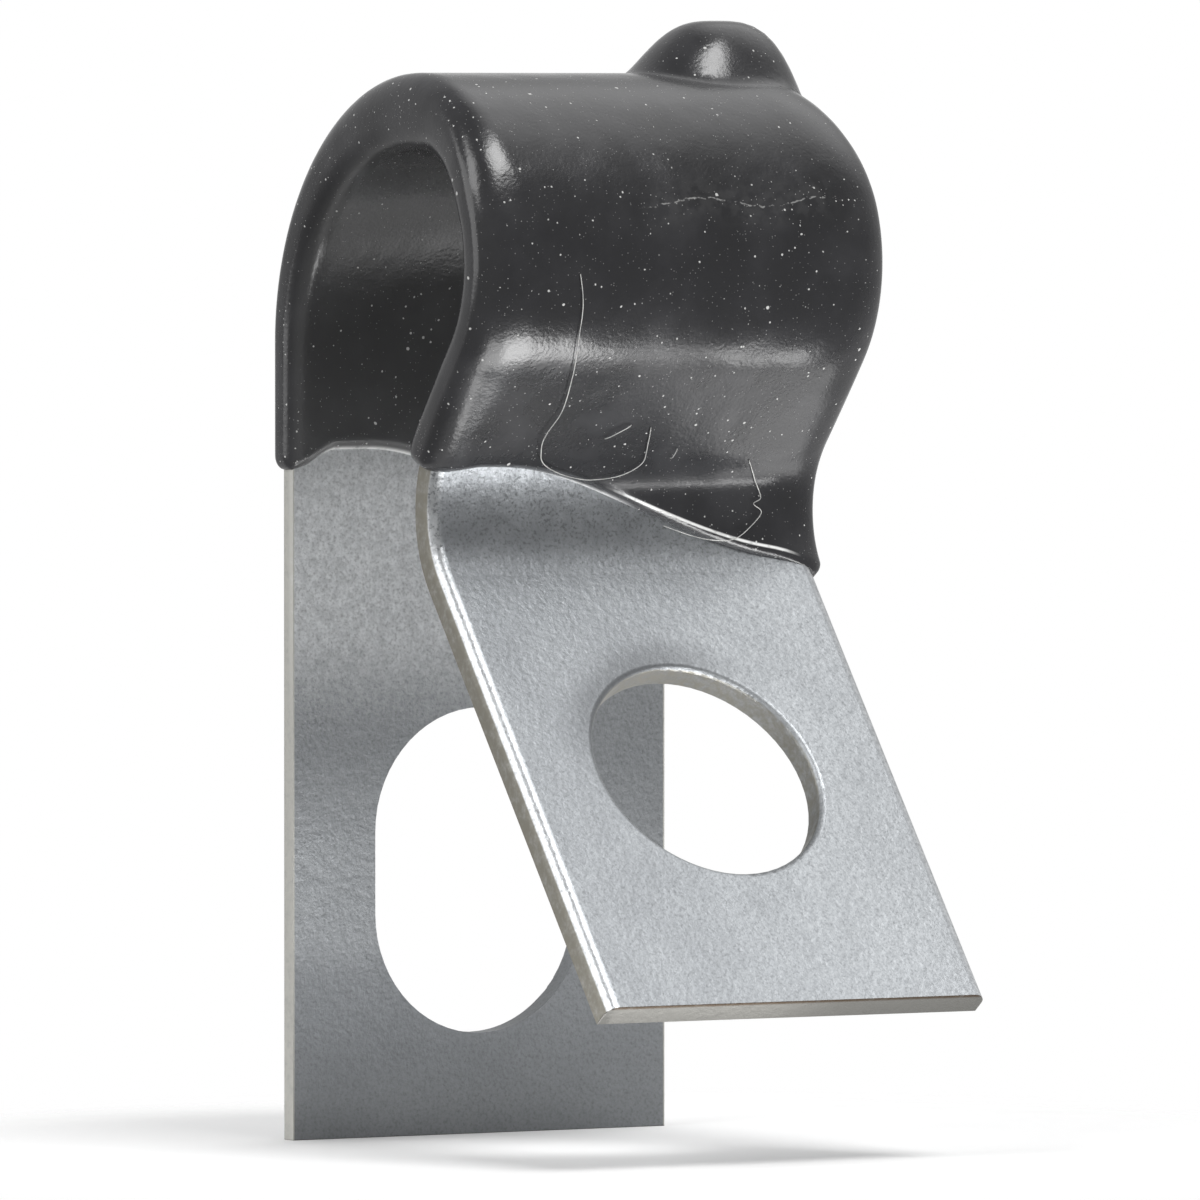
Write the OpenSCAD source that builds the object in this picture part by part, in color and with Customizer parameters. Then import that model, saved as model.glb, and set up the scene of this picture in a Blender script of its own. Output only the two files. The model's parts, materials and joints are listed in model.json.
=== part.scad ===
// Dip-coated cable clamp: a bent steel strip with a slotted back leg and a splayed, drilled front leg.
// A black vinyl dip coat covers the loop that goes round the cable.
// Millimetres. X runs along the cable, the legs are upright, and the back leg's rear face is Y = 0.
// The origin is the middle of the back leg's slot, on that rear face.

/* [Strip] */
// Width of the steel strip
strip_width = 12.7; // [11:0.1:16]
// Thickness of the steel strip
strip_thickness = 0.8; // [0.6:0.05:1.1]
// Rolled radius along the strip's long outer edges
edge_roll = 0.4; // [0.1:0.05:0.5]

/* [Bolt holes] */
// Diameter of the front leg's hole, and width of the back leg's slot
bolt_hole = 7.14; // [5.5:0.02:8]
// End-to-end length of the slot
slot_length = 9.52; // [8.6:0.02:11]
// Rolled radius at the outer mouths of the hole and the slot
mouth_roll = 0.18; // [0.05:0.01:0.3]

/* [Legs] */
// Foot of the back leg below the middle of the slot
foot_drop = 7.7; // [6.8:0.1:10]
// Start of the crown bend above the middle of the slot
crown_start = 15.44; // [14:0.1:19]
// Straight length of the front leg
front_leg = 14.95; // [13.5:0.05:18]
// Middle of the front leg's hole above that leg's end
hole_from_end = 8.05; // [7:0.05:9]
// Splay of the front leg away from upright, in degrees
splay = 37.3; // [20:0.1:45]

/* [Loop] */
// Diameter of the cable that seats in the nose of the open loop
cable = 6.35; // [5.2:0.05:7.4]
// Gap all round between that cable and the lining
cable_gap = 0.1; // [0.04:0.01:0.16]
// Inside radius of the steel at the crown
crown_radius = 6.16; // [5.4:0.02:7.6]
// Turn of the crown bend, in degrees
crown_turn = 100; // [85:1:110]
// Turn of the tighter nose bend, in degrees
nose_turn = 118.4; // [110:0.2:125]
// Thinning of the strip on each side where the nose is drawn round
nose_thinning = 0.01; // [0.005:0.005:0.03]
// Straight of the strip between the nose and the throat bend
throat_straight = 2.96; // [2:0.02:4]
// Radius of the throat bend on the strip's outer face
throat_radius = 3.06; // [2:0.02:4.5]

/* [Dip coat] */
// Thickness of the lining in the nose
lining = 0.5; // [0.35:0.01:0.6]
// Thickness over the crown, where the coat drained to
crown_coat = 0.85; // [0.6:0.01:1]
// Thickness down the front of the loop
front_coat = 0.54; // [0.4:0.01:0.7]
// Thickness on the back leg
leg_coat = 0.27; // [0.2:0.01:0.35]
// Thickness past the strip's long edges, away from the nose
rim_coat = 0.22; // [0.16:0.01:0.4]
// Thickness past the strip's long edges at the throat
throat_rim = 0.38; // [0.2:0.01:0.5]
// Rounding of the coat's outer left edge, in across the strip
left_round = 0.65; // [0.45:0.05:1.2]
// Rounding of the coat's outer right edge, in across the strip
right_round = 1.95; // [1.2:0.05:2.4]
// Rounding of the lining's edges, in across the strip
lining_round = 0.5; // [0.4:0.05:0.8]
// Coat's edge below the start of the crown bend, at the left of the back leg
back_edge = 3.1; // [2.5:0.1:4]
// Coat's edge past the end of the throat straight, at the left of the front leg
front_edge = 0.8; // [0.4:0.05:1.2]
// Further reach of the coat along the strip at its right side
edge_slant = 3.5; // [0:0.1:3.8]
// Level stretch of the coat's edge at its left side
level_run = 1.75; // [0:0.05:3]
// Extra reach of the coat where it wraps the back leg's long edges
back_sag = 0.7; // [0:0.05:0.9]
// Extra reach of the coat where it wraps the front leg's long edges
front_sag = 0.25; // [0:0.05:0.5]
// Stretch along the throat bend over which the coat thins to its front edge
throat_thinning = 1.9; // [1.2:0.05:3]

/* [Drip] */
// Height of the set drip above the crown
drip_height = 1.54; // [0.8:0.02:1.8]
// Middle of the drip in from the right end of the coat
drip_inset = 2.72; // [2.4:0.02:4]
// Foot of the drip to the left of its middle
drip_left = 2; // [1.6:0.05:2.6]
// Foot of the drip to the right of its middle
drip_right = 2.9; // [2.2:0.05:3.4]
// Foot of the drip to the front and the back of its middle
drip_front = 2.39; // [1.8:0.01:2.8]

/* [Hidden] */
$fn = 96;

// Bend radii, turns and lengths along the middle of the strip
half_t = strip_thickness / 2;
half_w = strip_width / 2;
seat_radius = cable / 2 + cable_gap;
crown_r = crown_radius + half_t;
nose_r = seat_radius + lining + half_t;
throat_r = throat_radius + half_t;
nose_tuck = 0.1;
nose_end_turn = crown_turn + nose_turn;
leg_turn = 180 - splay;
crown_end = crown_r * crown_turn * PI / 180;
nose_end = crown_end + nose_r * nose_turn * PI / 180;
throat_start = nose_end + throat_straight;
throat_end = throat_start + throat_r * (nose_end_turn - leg_turn) * PI / 180;

// Bend centres and bend ends in the Y-Z plane; outward(a) points away from the loop at turn a
function outward(a) = [cos(a), sin(a)];
function onward(a) = [-sin(a), cos(a)];
crown_centre = [-half_t - crown_r, crown_start];
nose_centre = crown_centre + (crown_r - nose_r) * outward(crown_turn);
nose_stop = nose_centre + nose_r * outward(nose_end_turn);
throat_top = nose_stop + throat_straight * onward(nose_end_turn);
throat_centre = throat_top + throat_r * outward(nose_end_turn);
leg_top = throat_centre - throat_r * outward(leg_turn);

// Turn and place of the strip's middle at a length measured from the start of the crown bend
function turn_at(s) =
    s <= 0 ? 0
    : s <= crown_end ? crown_turn * s / crown_end
    : s <= nose_end ? crown_turn + nose_turn * (s - crown_end) / (nose_end - crown_end)
    : s <= throat_start ? nose_end_turn
    : s <= throat_end ? nose_end_turn - (s - throat_start) / throat_r * 180 / PI
    : leg_turn;
function middle_at(s) =
    s <= 0 ? [-half_t, crown_start + s]
    : s <= crown_end ? crown_centre + crown_r * outward(turn_at(s))
    : s <= nose_end ? nose_centre + nose_r * outward(turn_at(s))
    : s <= throat_start ? nose_stop + (s - nose_end) * onward(nose_end_turn)
    : s <= throat_end ? throat_centre - throat_r * outward(turn_at(s))
    : leg_top + (s - throat_end) * onward(leg_turn);

// Strip section: first axis out of the loop, second across the strip, corners rolled on the outer side
module strip_section(outer = 1, thinning = 0) {
    thick = strip_thickness - 2 * thinning;
    wide = strip_width - 2 * thinning;
    mirror([outer < 0 ? 1 : 0, 0]) {
        translate([-thick / 2, -wide / 2])
            square([thick - edge_roll, wide]);
        translate([-thick / 2, edge_roll - wide / 2])
            square([thick, wide - 2 * edge_roll]);
        for (side = [0, 1])
            mirror([0, side])
                translate([thick / 2 - edge_roll, wide / 2 - edge_roll])
                    intersection() {
                        circle(edge_roll);
                        square(2 * edge_roll);
                    }
    }
}

// Runs of the strip, each with its bend, in axes that point out of the loop, across the strip and onward
module run_at(from, turn) {
    translate([0, from[0], from[1]])
        rotate([turn, 0, 0])
            rotate([0, 0, 90])
                children();
}

module straight(length, thinning = 0) {
    linear_extrude(length)
        strip_section(1, thinning);
}

module bend(radius, turn, outer = 1, thinning = 0) {
    translate([-radius, 0, 0])
        rotate([90, 0, 0])
            rotate_extrude(angle = turn)
                translate([radius, 0])
                    strip_section(outer, thinning);
}

module back_run() {
    run_at([-half_t, crown_start], 0) {
        rotate([180, 0, 0])
            straight(crown_start + foot_drop);
        bend(crown_r, crown_turn);
    }
}

// The nose run, drawn thin, tucks into the runs on both sides of it
module nose_run() {
    run_at(nose_stop, nose_end_turn) {
        straight(throat_straight + nose_tuck, nose_thinning);
        rotate([180, 0, 0])
            bend(nose_r, nose_turn + nose_tuck / nose_r * 180 / PI, 1, nose_thinning);
    }
}

module front_run() {
    run_at(leg_top, leg_turn) {
        straight(front_leg);
        rotate([0, 180, 0])
            bend(throat_r, nose_end_turn - leg_turn, -1);
    }
}

module bent_strip() {
    back_run();
    nose_run();
    front_run();
}

// Profile that a punch leaves: straight wall, with the outer mouth drawn in round
module punch_profile() {
    square([bolt_hole / 2, strip_thickness]);
    difference() {
        translate([0, strip_thickness - mouth_roll])
            square([bolt_hole / 2 + mouth_roll, 2 * mouth_roll]);
        translate([bolt_hole / 2 + mouth_roll, strip_thickness - mouth_roll])
            circle(mouth_roll);
    }
    translate([0, -mouth_roll])
        square([bolt_hole / 2, 2 * mouth_roll]);
}

// The punch stands on the inner face of the strip and points out of the loop
module round_punch() {
    rotate([-90, 0, 0])
        rotate_extrude()
            punch_profile();
}

module slot_punch() {
    reach = (slot_length - bolt_hole) / 2;
    for (end = [-1, 1])
        translate([0, 0, end * reach])
            round_punch();
    translate([0, 0, -reach])
        linear_extrude(2 * reach) {
            punch_profile();
            mirror([1, 0])
                punch_profile();
        }
}

module steel_strap() {
    hole_at = leg_top + (front_leg - hole_from_end) * onward(leg_turn) - half_t * outward(leg_turn);
    color([0.62, 0.64, 0.66])
        difference() {
            bent_strip();
            translate([0, -strip_thickness, 0])
                slot_punch();
            translate([0, hole_at[0], hole_at[1]])
                rotate([leg_turn, 0, 0])
                    round_punch();
        }
}

// Coat thickness along the strip; the lining carries a little stock for the cable seat
seat_stock = 0.05;
function eased(u) = let (v = min(max(u, 0), 1)) v * v * (3 - 2 * v);
function eased_between(s, from, to) = eased((s - from) / (to - from));
crown_top = crown_end * min(90 / crown_turn, 1);
ridge_half = 0.5;
nose_middle = (crown_end + nose_end) / 2;
function outer_coat(s) =
    leg_coat
    + (crown_coat - leg_coat) * eased_between(s, 0, crown_top - ridge_half)
    + (front_coat - crown_coat) * eased_between(s, crown_top + ridge_half, nose_middle)
    + (leg_coat - front_coat) * eased_between(s, throat_start, throat_start + throat_thinning);
function inner_coat(s) =
    leg_coat
    + (lining + seat_stock - leg_coat) * eased_between(s, -back_edge / 2, crown_top / 2);
function edge_coat(s) =
    rim_coat
    + (front_coat - rim_coat) * eased_between(s, crown_end, nose_middle)
    + (throat_rim - front_coat) * eased_between(s, nose_end, throat_end);

// Ends of the coat along the strip at a place x across it: slanted like the dip, lower round the edges
slant_from = level_run - half_w;
slant_to = half_w + rim_coat;
wrap_width = 1.4;
function slant_at(x) = edge_slant * eased_between(x, slant_from, slant_to);
function wrap_at(x) = eased_between(abs(x), half_w - wrap_width, half_w);
function coat_first(x) = -back_edge - slant_at(x) - back_sag * wrap_at(x);
function coat_last(x) = throat_start + front_edge + slant_at(x) + front_sag * wrap_at(x);

// The drip is a blunt dome, filleted into the crown, that leans the way the clamp hung while the coat set
drip_x = half_w + rim_coat - drip_inset;
drip_y = crown_centre[0];
drip_bluntness = 2.8;
drip_fillet = 0.12;
drip_lean = 0.21;
drip_wall = 0.4;
drip_fade_from = -1.5;
drip_fade_to = -0.5;
function drip_dome(x, y) =
    1
    - pow(abs(x - drip_x) / (x < drip_x ? drip_left : drip_right), drip_bluntness)
    - pow(abs(y - drip_y) / drip_front, drip_bluntness);
function drip_at(s, x, y, angle) =
    s <= 0 || s >= nose_middle || sin(angle) <= 0 ? 0
    : let (dome = drip_dome(x, y))
        drip_height / 2 * (dome + norm([dome, drip_fillet]))
        * eased_between(dome, drip_fade_from, drip_fade_to) * eased(sin(angle) / drip_wall);

// Columns across the coat's outer face, close together under the drip, and across its lining
core_inset = 0.3 * strip_thickness;
core_n = half_t - core_inset;
left_x = left_round - half_w;
right_x = half_w - right_round;
lining_core = half_w - lining_round;
plain_columns = 6;
drip_columns = 12;
columns = plain_columns + drip_columns;
lining_columns = 10;
drip_skirt = 1.1;
drip_from = drip_x - drip_skirt * drip_left;
function column_x(k) =
    k <= plain_columns
        ? left_x + (drip_from - left_x) * k / plain_columns
    : drip_from + (right_x - drip_from) * (k - plain_columns) / drip_columns;
function lining_x(m) = lining_core * (2 * m / lining_columns - 1);

// Ring of the coat's section: core corner across, core corner outward, angle round that corner
corner_steps = 4;
right_steps = 8;
function corner_angle(m, steps) = 90 * m / steps;
ring = concat(
    [for (k = [0:columns]) [column_x(k), 1, 90]],
    [for (m = [1:right_steps]) [right_x, 1, 90 - corner_angle(m, right_steps)]],
    [for (m = [0:corner_steps - 1]) [lining_core, -1, -corner_angle(m, corner_steps)]],
    [for (m = [0:lining_columns]) [lining_x(lining_columns - m), -1, -90]],
    [for (m = [1:corner_steps]) [-lining_core, -1, -90 - corner_angle(m, corner_steps)]],
    [for (m = [0:corner_steps - 1]) [left_x, 1, -180 - corner_angle(m, corner_steps)]]
);
ring_size = len(ring);

// Rows of the coat from edge to edge: a rounded lip, a run up to the loop, the loop, and the same again
lip_steps = 5;
lip_length = 0.42;
lip_root = -0.15 * strip_thickness;
run_steps = 5;
crown_steps = 34;
nose_steps = 24;
throat_steps = 11;
function lip_run(i) = lip_length * (1 - cos(90 * i / lip_steps));
function lip_rise(i) = sin(90 * i / lip_steps);
row_crown = lip_steps + run_steps;
row_nose = row_crown + crown_steps;
row_throat = row_nose + nose_steps;
row_lip = row_throat + throat_steps;
row_end = row_lip + lip_steps;
function along(i, x) =
    i <= lip_steps ? coat_first(x) + lip_run(i)
    : i <= row_crown ? (coat_first(x) + lip_length) * (row_crown - i) / run_steps
    : i <= row_nose ? crown_end * (i - row_crown) / crown_steps
    : i <= row_throat ? crown_end + (nose_end - crown_end) * (i - row_nose) / nose_steps
    : i <= row_lip
        ? nose_end + (coat_last(x) - lip_length - nose_end) * (i - row_throat) / throat_steps
    : coat_last(x) - lip_run(row_end - i);
function skin_at(i, coat) =
    let (from_end = min(i, row_end - i))
    from_end == 0 ? lip_root
    : coat * (from_end < lip_steps ? lip_rise(from_end) : 1);
function skin_point(i, corner) =
    let (
        angle = corner[2],
        inset = half_w - abs(corner[0]),
        s = along(i, corner[0] + inset * cos(angle)),
        face = sin(angle) > 0 ? outer_coat(s) : inner_coat(s),
        x = corner[0] + (inset + skin_at(i, edge_coat(s))) * cos(angle),
        out = corner[1] * core_n + (core_inset + skin_at(i, face)) * sin(angle),
        place = middle_at(s) + out * outward(turn_at(s)),
        drip = drip_at(s, x, place[0], angle)
    )
    [x + drip_lean * drip, place[0], place[1] + drip];

// Outer skin of the coat as a solid, with the strip still inside it
module coat_skin() {
    points = [for (i = [0:row_end]) for (corner = ring) skin_point(i, corner)];
    sides = [
        for (i = [0:row_end - 1])
            for (j = [0:ring_size - 1])
                let (
                    a = i * ring_size + j,
                    b = i * ring_size + (j + 1) % ring_size,
                    c = b + ring_size,
                    d = a + ring_size
                )
                each [[a, b, c], [a, c, d]]
    ];
    near_inner = columns + 1 + right_steps + corner_steps;
    far_inner = near_inner + lining_columns;
    beside = [
        for (k = [0:columns - 1])
            floor(lining_columns * (column_x(k) + lining_core) / (2 * lining_core))
    ];
    end_strip = concat(
        [for (k = [0:columns - 1]) [k, far_inner - beside[k], k + 1]],
        [
            for (m = [0:lining_columns - 1])
                let (k = len([for (n = beside) if (n <= m) n]))
                [k, far_inner - m, far_inner - m - 1]
        ]
    );
    right_end = [
        for (j = [columns + 1:near_inner - 1])
            [columns, j + 1, j]
    ];
    left_end = [
        for (j = [far_inner + 1:ring_size - 1])
            [far_inner, (j + 1) % ring_size, j]
    ];
    first_cap = concat(end_strip, right_end, left_end);
    base = row_end * ring_size;
    last_cap = [for (f = first_cap) [f[2] + base, f[1] + base, f[0] + base]];
    polyhedron(points, concat(sides, first_cap, last_cap), convexity = 8);
}

module cable_seat() {
    length = strip_width + 4 * crown_coat;
    translate([-length / 2, nose_centre[0], nose_centre[1]])
        rotate([0, 90, 0])
            cylinder(r = seat_radius, h = length);
}

module pvc_coating() {
    color([0.07, 0.07, 0.08])
        difference() {
            coat_skin();
            bent_strip();
            cable_seat();
        }
}

steel_strap();
pvc_coating();
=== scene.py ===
"""Looks of a cable clamp: a bent zinc-coated strip with a black vinyl dip coat.

Sizes are written in millimetres, and a mesh is turned into metres when it is
made.  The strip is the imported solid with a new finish.  The coat's plain solid
is replaced by a finer skin on the same path, with the lint that lies on it.
"""

import json
import logging
import math
from dataclasses import dataclass
from enum import Enum
from functools import cached_property
from typing import Any, NamedTuple, Optional, Sequence, Union

import bpy
import numpy as np
from mathutils import Matrix, Vector


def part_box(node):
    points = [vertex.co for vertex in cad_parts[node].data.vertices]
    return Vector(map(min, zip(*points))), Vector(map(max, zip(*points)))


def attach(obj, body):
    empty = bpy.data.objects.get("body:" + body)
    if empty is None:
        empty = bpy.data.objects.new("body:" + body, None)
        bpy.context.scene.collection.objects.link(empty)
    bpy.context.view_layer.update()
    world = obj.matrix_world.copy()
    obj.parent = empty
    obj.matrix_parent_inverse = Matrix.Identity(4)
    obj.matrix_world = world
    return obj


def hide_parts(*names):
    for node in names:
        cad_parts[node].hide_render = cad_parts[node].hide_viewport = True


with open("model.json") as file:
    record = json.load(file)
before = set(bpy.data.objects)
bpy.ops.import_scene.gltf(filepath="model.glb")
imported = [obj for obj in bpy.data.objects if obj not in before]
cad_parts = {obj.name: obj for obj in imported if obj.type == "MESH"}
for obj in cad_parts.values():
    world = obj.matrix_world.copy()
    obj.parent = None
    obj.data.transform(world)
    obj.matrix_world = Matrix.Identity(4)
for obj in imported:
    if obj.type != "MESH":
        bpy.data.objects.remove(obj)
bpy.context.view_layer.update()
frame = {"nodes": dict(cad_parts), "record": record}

LOG = logging.getLogger("clamp")
MM = 0.001
BODY = "root"
TINY = 1e-6
SPECK_BLUR = 0.3

Array = np.ndarray
Number = Union[float, Array]
Span = tuple[float, float]
Trio = tuple[float, float, float]
Colour = Trio
Point = Trio


def eased(value: Number, start: float, stop: float) -> Array:
    """Runs from 0 at start to 1 at stop as 3u^2 - 2u^3 of the clipped share u of the way."""
    u = np.clip((np.asarray(value) - start) / (stop - start), 0.0, 1.0)
    return u * u * (3.0 - 2.0 * u)


def stepped(length: Array, first: float, steps: Sequence[Trio]) -> Array:
    """Goes from one value to the next in eased steps.

    Args:
        length: Lengths along the strip.
        first: The value before all the steps.
        steps: Where each step starts and stops, and the value after it.

    Returns:
        The value at each length.
    """
    value: Number = first
    for start, stop, after in steps:
        value = value + (after - first) * eased(length, start, stop)
        first = after
    return value


def outward(turn: Number) -> Array:
    """The direction away from a bend's middle at a turn in degrees, as Y and Z."""
    return np.array([np.cos(np.radians(turn)), np.sin(np.radians(turn))])


def onward(turn: Number) -> Array:
    """The direction along the strip at a turn in degrees, as Y and Z."""
    return np.array([-np.sin(np.radians(turn)), np.cos(np.radians(turn))])


def mesh_object(name: str, points: Array, faces: list[Array]) -> bpy.types.Object:
    """Makes a smooth mesh at the origin from points in millimetres.

    Args:
        name: Name of the new object.
        points: Array of points, one row of X, Y and Z each.
        faces: Arrays of point numbers, one row per face.

    Returns:
        The object, linked into the scene.
    """
    mesh = bpy.data.meshes.new(name)
    mesh.from_pydata(points * MM, [], [row for block in faces for row in block.tolist()])
    mesh.shade_smooth()
    piece = bpy.data.objects.new(name, mesh)
    bpy.context.scene.collection.objects.link(piece)
    return piece


def ring_faces(rows: int, columns: int, wrap_rows: bool) -> Array:
    """Numbers the four-sided faces of a grid that closes on itself sideways.

    Args:
        rows: Number of rings of points.
        columns: Points in each ring; the last joins the first.
        wrap_rows: Whether the last ring joins the first too.

    Returns:
        One row of four point numbers per face, row by row.
    """
    index = np.arange(rows * columns).reshape(rows, columns)
    after = np.roll(index, -1, axis=0)
    faces = np.stack(
        [index, after, np.roll(after, -1, axis=1), np.roll(index, -1, axis=1)], axis=-1)
    return faces[: rows if wrap_rows else rows - 1].reshape(-1, 4)


class Op(Enum):
    """Sums that a Math node does on values."""

    ADD = "ADD"
    SUBTRACT = "SUBTRACT"
    MULTIPLY = "MULTIPLY"
    POWER = "POWER"
    ABSOLUTE = "ABSOLUTE"
    MINIMUM = "MINIMUM"
    SINE = "SINE"


class VectorOp(Enum):
    """Sums that a Vector Math node does on vectors."""

    ADD = "ADD"
    SUBTRACT = "SUBTRACT"
    SCALE = "SCALE"
    DISTANCE = "DISTANCE"
    DOT = "DOT_PRODUCT"


class Shade:
    """One output socket of a sheet of nodes, which takes part in sums."""

    def __init__(self, sheet: "NodeSheet", socket: Optional[bpy.types.NodeSocket]) -> None:
        """Keeps the socket and the sheet that it lies on."""
        self.sheet = sheet
        self.socket = socket

    def __add__(self, other: "Value") -> "Shade":
        """Adds a value or another socket, from either side."""
        return self.sheet.math(Op.ADD, self, other)

    __radd__ = __add__

    def __sub__(self, other: "Value") -> "Shade":
        """Takes a value or another socket away."""
        return self.sheet.math(Op.SUBTRACT, self, other)

    def __rsub__(self, other: "Value") -> "Shade":
        """Takes this socket away from a value."""
        return self.sheet.math(Op.SUBTRACT, other, self)

    def __mul__(self, other: "Value") -> "Shade":
        """Multiplies by a value or another socket, from either side."""
        return self.sheet.math(Op.MULTIPLY, self, other)

    __rmul__ = __mul__

    def __pow__(self, other: "Value") -> "Shade":
        """Raises to a power."""
        return self.sheet.math(Op.POWER, self, other)

    def __rpow__(self, other: "Value") -> "Shade":
        """Raises a value to the power of this socket."""
        return self.sheet.math(Op.POWER, other, self)

    def __abs__(self) -> "Shade":
        """Drops the sign."""
        return self.sheet.math(Op.ABSOLUTE, self)

    def ramp(self, start: float, stop: float, low: float = 0.0, high: float = 1.0) -> "Shade":
        """Runs smoothly from low to high while this socket goes from start to stop."""
        return self.sheet.add(
            "ShaderNodeMapRange",
            {"interpolation_type": "SMOOTHSTEP"},
            {"Value": self, "From Min": start, "From Max": stop, "To Min": low, "To Max": high})


Value = Union[float, Shade]


class NodeSheet:
    """The nodes of one material or of the world, added through one method."""

    def __init__(self, tree: bpy.types.NodeTree) -> None:
        """Empties the tree."""
        tree.nodes.clear()
        self.tree = tree

    def add(
        self,
        kind: str,
        settings: Optional[dict[str, Any]] = None,
        inputs: Optional[dict[Union[str, int], Any]] = None,
        output: Union[str, int] = 0,
    ) -> Shade:
        """Adds one node.

        Args:
            kind: The node's type.
            settings: Properties, which are set first.
            inputs: Values or links of its sockets, by name or number.
            output: Name or number of the socket to give back.

        Returns:
            That output socket, or an empty one for a node without outputs.
        """
        node = self.tree.nodes.new(kind)
        for name, value in (settings or {}).items():
            setattr(node, name, value)
        for key, value in (inputs or {}).items():
            if isinstance(value, Shade):
                self.tree.links.new(value.socket, node.inputs[key])
            else:
                node.inputs[key].default_value = value
        return Shade(self, node.outputs[output] if len(node.outputs) else None)

    def math(self, operation: Op, first: Value, second: Value = 0.0) -> Shade:
        """Adds a Math node for one sum on two values."""
        return self.add("ShaderNodeMath", {"operation": operation.value}, {0: first, 1: second})

    def vector(self, operation: VectorOp, first: Any, second: Any) -> Shade:
        """Adds a Vector Math node for one sum on two vectors, or on a vector and its scale."""
        number = operation in (VectorOp.DISTANCE, VectorOp.DOT)
        return self.add(
            "ShaderNodeVectorMath",
            {"operation": operation.value},
            {0: first, "Scale" if operation is VectorOp.SCALE else 1: second},
            "Value" if number else "Vector")

    def attribute(self, name: str) -> Shade:
        """The number that a mesh keeps under a name at each point."""
        return self.add("ShaderNodeAttribute", {"attribute_name": name}, output="Fac")

    @cached_property
    def place(self) -> Shade:
        """The place on the piece in millimetres, from its Object coordinates."""
        place = self.add("ShaderNodeTexCoord", output="Object")
        return self.vector(VectorOp.SCALE, place, 1.0 / MM)

    def axes(self, vector: Shade) -> tuple[Shade, Shade, Shade]:
        """The X, Y and Z of a vector, each as a socket."""
        return tuple(
            self.add("ShaderNodeSeparateXYZ", inputs={"Vector": vector}, output=axis)
            for axis in "XYZ")

    def noise(self, per_mm: float, detail: float = 2.0, rough: float = 0.5) -> Shade:
        """Cloudy noise from 0 to 1; detail is its finer layers and rough their strength."""
        return self.add(
            "ShaderNodeTexNoise",
            inputs={"Vector": self.place, "Scale": per_mm, "Detail": detail, "Roughness": rough})

    def specks(self, place: Shade, per_mm: float, radius: float, kept: float) -> Shade:
        """Round specks of random size, strewn at random.

        Args:
            place: Coordinates in millimetres.
            per_mm: Possible specks along a millimetre.
            radius: Largest radius of a speck, as a share of their spacing.
            kept: Share of the possible specks that are there.

        Returns:
            A mask, 1 on a speck.
        """
        cells = {"Vector": place, "Scale": per_mm}
        reach, chance = (
            self.add("ShaderNodeTexVoronoi", {"feature": "F1"}, cells, output)
            for output in ("Distance", "Color"))
        size = self.axes(chance)[0].ramp(1.0 - kept, 1.0, 0.0, radius)
        return (size - reach).ramp(0.0, SPECK_BLUR * radius)

    def ragged(self, per_mm: float, reach: float) -> Shade:
        """Shifts the place at random, so that what is drawn there gets a ragged outline.

        Args:
            per_mm: Swings of the shift in a millimetre.
            reach: Largest shift along each axis, in millimetres.

        Returns:
            The shifted coordinates.
        """
        swing = self.add(
            "ShaderNodeTexNoise", inputs={"Vector": self.place, "Scale": per_mm}, output="Color")
        centred = self.vector(VectorOp.SUBTRACT, swing, (0.5, 0.5, 0.5))
        shift = self.vector(VectorOp.SCALE, centred, 2.0 * reach)
        return self.vector(VectorOp.ADD, self.place, shift)

    def mix(self, factor: Value, first: Any, second: Any) -> Shade:
        """Blends two colours or sockets: a factor of 0 is the first and of 1 the second."""
        sides = [side if isinstance(side, Shade) else (*side, 1.0) for side in (first, second)]
        return self.add(
            "ShaderNodeMix", {"data_type": "RGBA"}, {0: factor, 6: sides[0], 7: sides[1]}, 2)

    def layered(self, tone: Shade, layers: Sequence[tuple[Value, Any]]) -> Shade:
        """Lays colours over a tone by their masks, from the lowest layer up."""
        for mask, colour in layers:
            tone = self.mix(mask, tone, colour)
        return tone

    def bump(self, height: Shade, depth: float, under: Optional[Shade] = None) -> Shade:
        """Turns a height from 0 to 1 into a Normal.

        Args:
            height: The relief.
            depth: What a height of 1 stands for, in millimetres.
            under: Normal of a coarser relief that this one lies on.

        Returns:
            The Normal as a socket.
        """
        inputs: dict[str, Any] = {"Height": height, "Strength": 1.0, "Distance": depth * MM}
        if under is not None:
            inputs["Normal"] = under
        return self.add("ShaderNodeBump", inputs=inputs)

    def close(self, surface: Shade, kind: str = "ShaderNodeOutputMaterial") -> None:
        """Joins a shader to the sheet's output."""
        self.add(kind, inputs={"Surface": surface})


def new_material(name: str) -> tuple[bpy.types.Material, NodeSheet]:
    """Makes an empty material.

    Args:
        name: Its name.

    Returns:
        The material and its sheet of nodes.
    """
    material = bpy.data.materials.new(name)
    material.use_nodes = True
    return material, NodeSheet(material.node_tree)


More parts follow.
